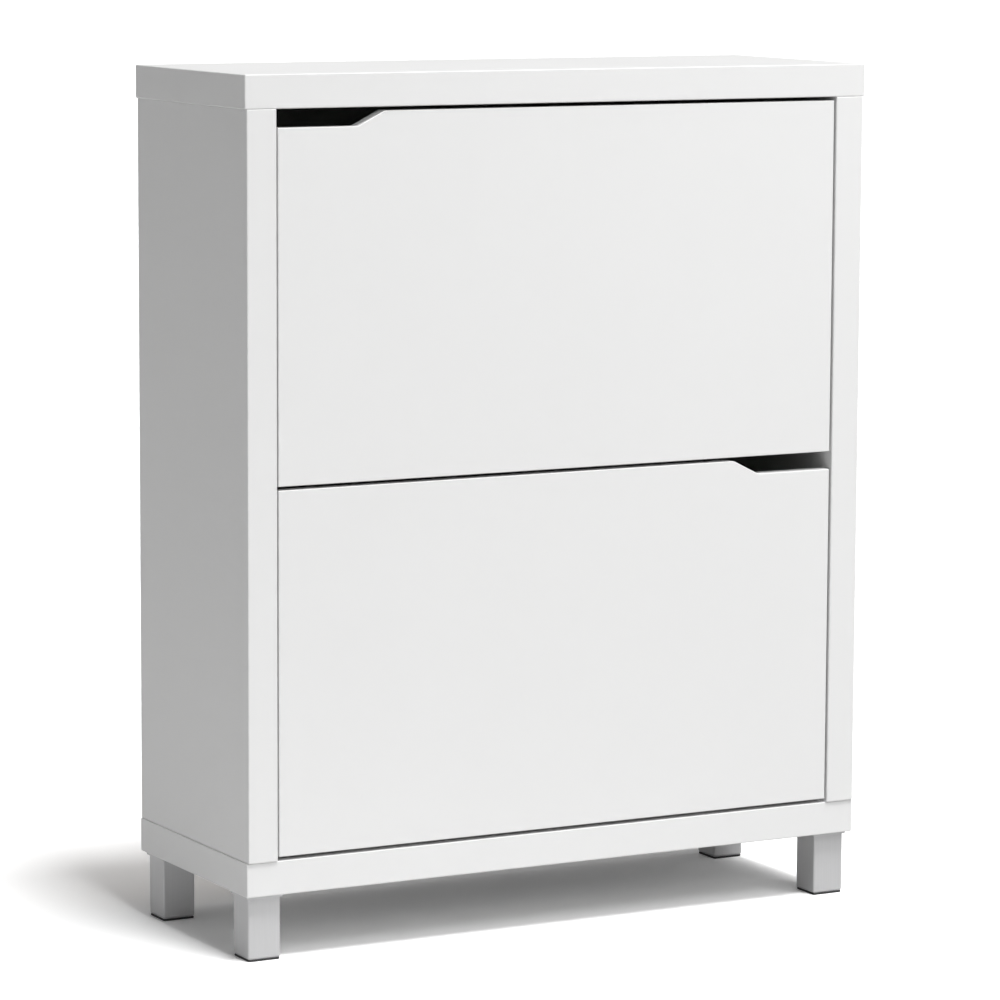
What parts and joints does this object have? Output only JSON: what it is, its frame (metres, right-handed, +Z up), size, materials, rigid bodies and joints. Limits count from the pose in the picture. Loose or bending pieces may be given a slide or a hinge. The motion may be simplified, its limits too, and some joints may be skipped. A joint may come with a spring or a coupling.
{
  "type": "shoe cabinet",
  "caption": "Slim upright shoe cabinet: two tilt-out racks behind inset doors with corner finger notches, in a thick white board frame on square metal legs.",
  "frame": {"origin": "middle of the cabinet's overall footprint, on the floor under the glides", "axes": "+Z up, the doors face -Y, +X to the right seen from the front"},
  "size_m": [0.72, 0.265, 0.89],
  "materials": {
    "white_lacquer": "satin white lacquer on fibreboard",
    "white_board": "white melamine on particle board",
    "back_board": "white-faced hardboard",
    "satin_aluminium": "satin",
    "plate_steel": "satin nickel-plated steel",
    "black_plastic": "matt moulded",
    "grey_plastic": "fine-textured moulded",
    "white_plastic": "low-friction moulded",
    "rubber": "soft matt",
    "beech": "unfinished beech",
    "brass_insert": "turned",
    "zinc_steel": "zinc-plated steel"
  },
  "bodies": {
    "cabinet": {"back_panel_nails": "zinc_steel", "base_panel": "white_lacquer", "cam_bolts": "zinc_steel", "cam_locks": "zinc_steel", "dowels": "beech", "front_left_leg": "satin_aluminium", "front_left_leg_glide": "black_plastic", "front_left_leg_plate": "plate_steel", "front_right_leg": "satin_aluminium", "front_right_leg_glide": "black_plastic", "front_right_leg_plate": "plate_steel", "left_side_panel": "white_lacquer", "leg_studs": "zinc_steel", "lower_back_panel": "back_board", "lower_left_pivot_pin": "zinc_steel", "lower_left_stop_peg": "zinc_steel", "lower_right_pivot_pin": "zinc_steel", "lower_right_stop_peg": "zinc_steel", "middle_rail": "white_board", "rear_left_leg": "satin_aluminium", "rear_left_leg_glide": "black_plastic", "rear_left_leg_plate": "plate_steel", "rear_right_leg": "satin_aluminium", "rear_right_leg_glide": "black_plastic", "rear_right_leg_plate": "plate_steel", "right_side_panel": "white_lacquer", "threaded_inserts": "brass_insert", "top_panel": "white_lacquer", "upper_back_panel": "back_board", "upper_left_pivot_pin": "zinc_steel", "upper_left_stop_peg": "zinc_steel", "upper_right_pivot_pin": "zinc_steel", "upper_right_stop_peg": "zinc_steel", "wall_bracket_screws": "zinc_steel", "wall_brackets": "zinc_steel"},
    "lower_rack": {"lower_door": "white_lacquer", "lower_front_row_back": "white_board", "lower_front_row_floor": "white_board", "lower_left_bracket": "grey_plastic", "lower_left_pivot_bush": "white_plastic", "lower_left_stop_buffers": "rubber", "lower_rack_screws": "zinc_steel", "lower_rear_row_back": "white_board", "lower_rear_row_floor": "white_board", "lower_right_bracket": "grey_plastic", "lower_right_pivot_bush": "white_plastic", "lower_right_stop_buffers": "rubber"},
    "upper_rack": {"upper_door": "white_lacquer", "upper_front_row_back": "white_board", "upper_front_row_floor": "white_board", "upper_left_bracket": "grey_plastic", "upper_left_pivot_bush": "white_plastic", "upper_left_stop_buffers": "rubber", "upper_rack_screws": "zinc_steel", "upper_rear_row_back": "white_board", "upper_rear_row_floor": "white_board", "upper_right_bracket": "grey_plastic", "upper_right_pivot_bush": "white_plastic", "upper_right_stop_buffers": "rubber"}
  },
  "joints": [
    {"name": "lower_rack_tilt", "type": "hinge", "parent": "cabinet", "child": "lower_rack", "pos_m": [0, -0.109, 0.177], "axis": [1, 0, 0], "range_deg": [0, 38]},
    {"name": "upper_rack_tilt", "type": "hinge", "parent": "cabinet", "child": "upper_rack", "pos_m": [0, -0.109, 0.5515], "axis": [1, 0, 0], "range_deg": [0, 38]}
  ]
}
